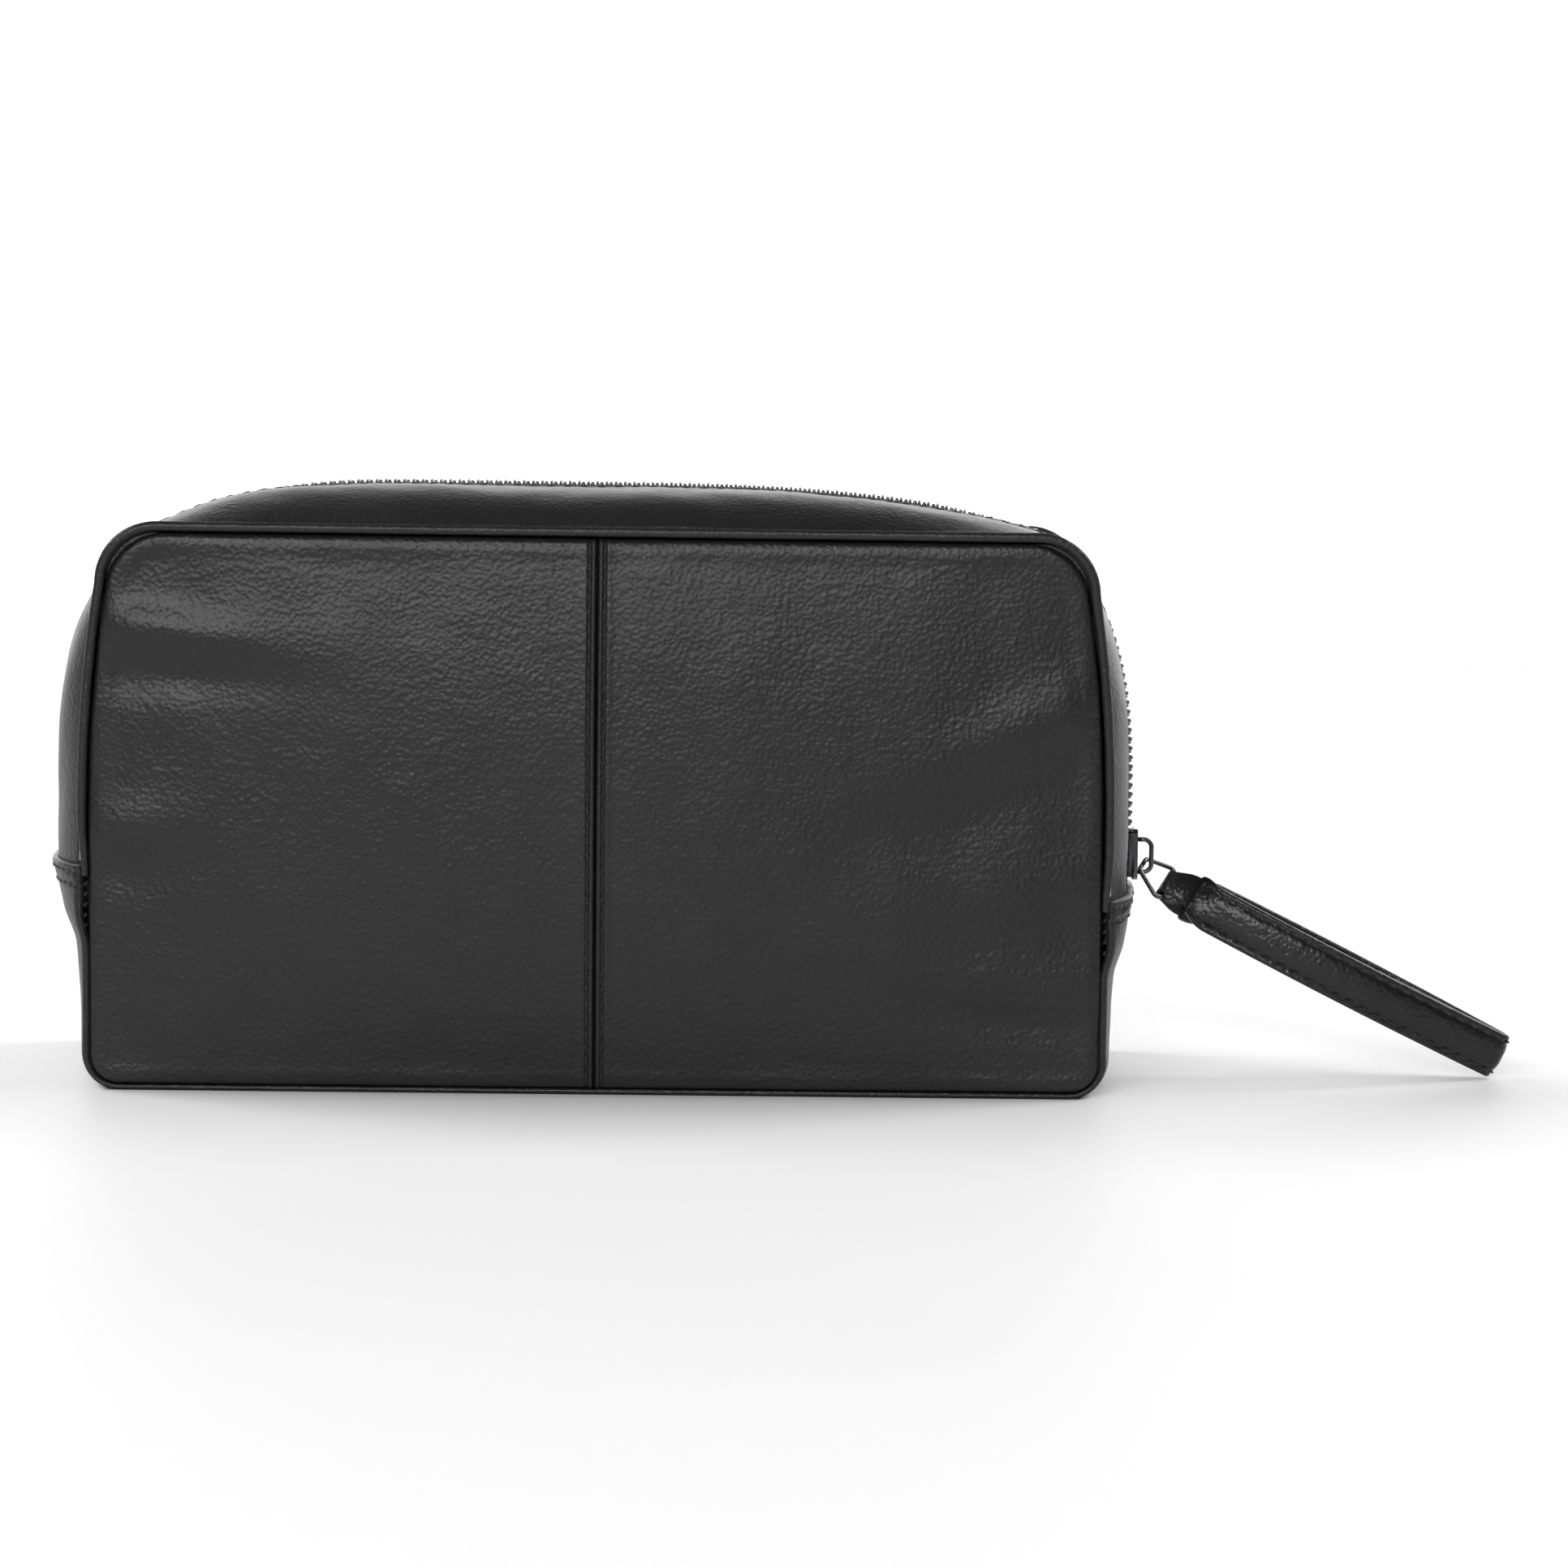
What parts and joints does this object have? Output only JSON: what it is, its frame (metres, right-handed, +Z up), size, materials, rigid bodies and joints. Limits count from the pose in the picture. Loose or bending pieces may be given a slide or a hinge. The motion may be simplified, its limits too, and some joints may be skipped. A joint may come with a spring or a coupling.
{
  "type": "makeup bag",
  "caption": "Soft box-shaped leather makeup bag with a curved zip gusset, lined inside, with a zip slider, pull ring and looped wrist strap.",
  "frame": {"origin": "on the table under the middle of the bag", "axes": "+X along the bag's width towards the wrist strap, -Y towards the front panel, +Z up"},
  "size_m": [0.3743, 0.09, 0.151],
  "materials": {
    "leather": "satin smooth grain",
    "strap_leather": "satin smooth grain",
    "seam_tape": "matt woven",
    "lining": "matt woven",
    "zip_tape": "matt woven",
    "foam": "matt",
    "board": "matt",
    "gunmetal": "dark nickel plated"
  },
  "bodies": {
    "bag": {"front_panel_left": "leather", "front_panel_right": "leather", "back_panel_left": "leather", "back_panel_right": "leather", "front_seam_tape": "seam_tape", "back_seam_tape": "seam_tape", "front_padding": "foam", "back_padding": "foam", "front_lining": "lining", "back_lining": "lining", "slip_pocket": "lining", "zip_gusset_front": "leather", "zip_gusset_back": "leather", "lower_gusset": "leather", "piping_front": "leather", "piping_back": "leather", "piping_cord_front": "foam", "piping_cord_back": "foam", "zip_tape_front": "zip_tape", "zip_tape_back": "zip_tape", "zip_teeth_front": "gunmetal", "zip_teeth_back": "gunmetal", "zip_top_stops": "gunmetal", "zip_bottom_stop": "gunmetal", "zip_lining_front": "lining", "zip_lining_back": "lining", "lower_lining": "lining", "base_board": "board"},
    "slider": {"slider_body": "gunmetal", "slider_bail": "gunmetal", "slider_lock": "gunmetal"},
    "ring": {"pull_ring": "gunmetal"},
    "strap": {"strap_tongue": "strap_leather", "strap_outer": "leather", "strap_inner": "strap_leather", "strap_filler": "foam"}
  },
  "joints": [
    {"name": "zip_slide", "type": "slide", "parent": "bag", "child": "slider", "axis": [0, 0, 1], "range_m": [0, 0.012]},
    {"name": "ring_swing", "type": "hinge", "parent": "slider", "child": "ring", "pos_m": [0.1394, 0, 0.05469], "axis": [0.3778, 0.809, 0.4503], "range_deg": [-45, 20]},
    {"name": "strap_swing", "type": "hinge", "parent": "ring", "child": "strap", "pos_m": [0.14591, 0, 0.04923], "axis": [-0.3778, -0.809, -0.4503], "range_deg": [-30, 60]}
  ]
}
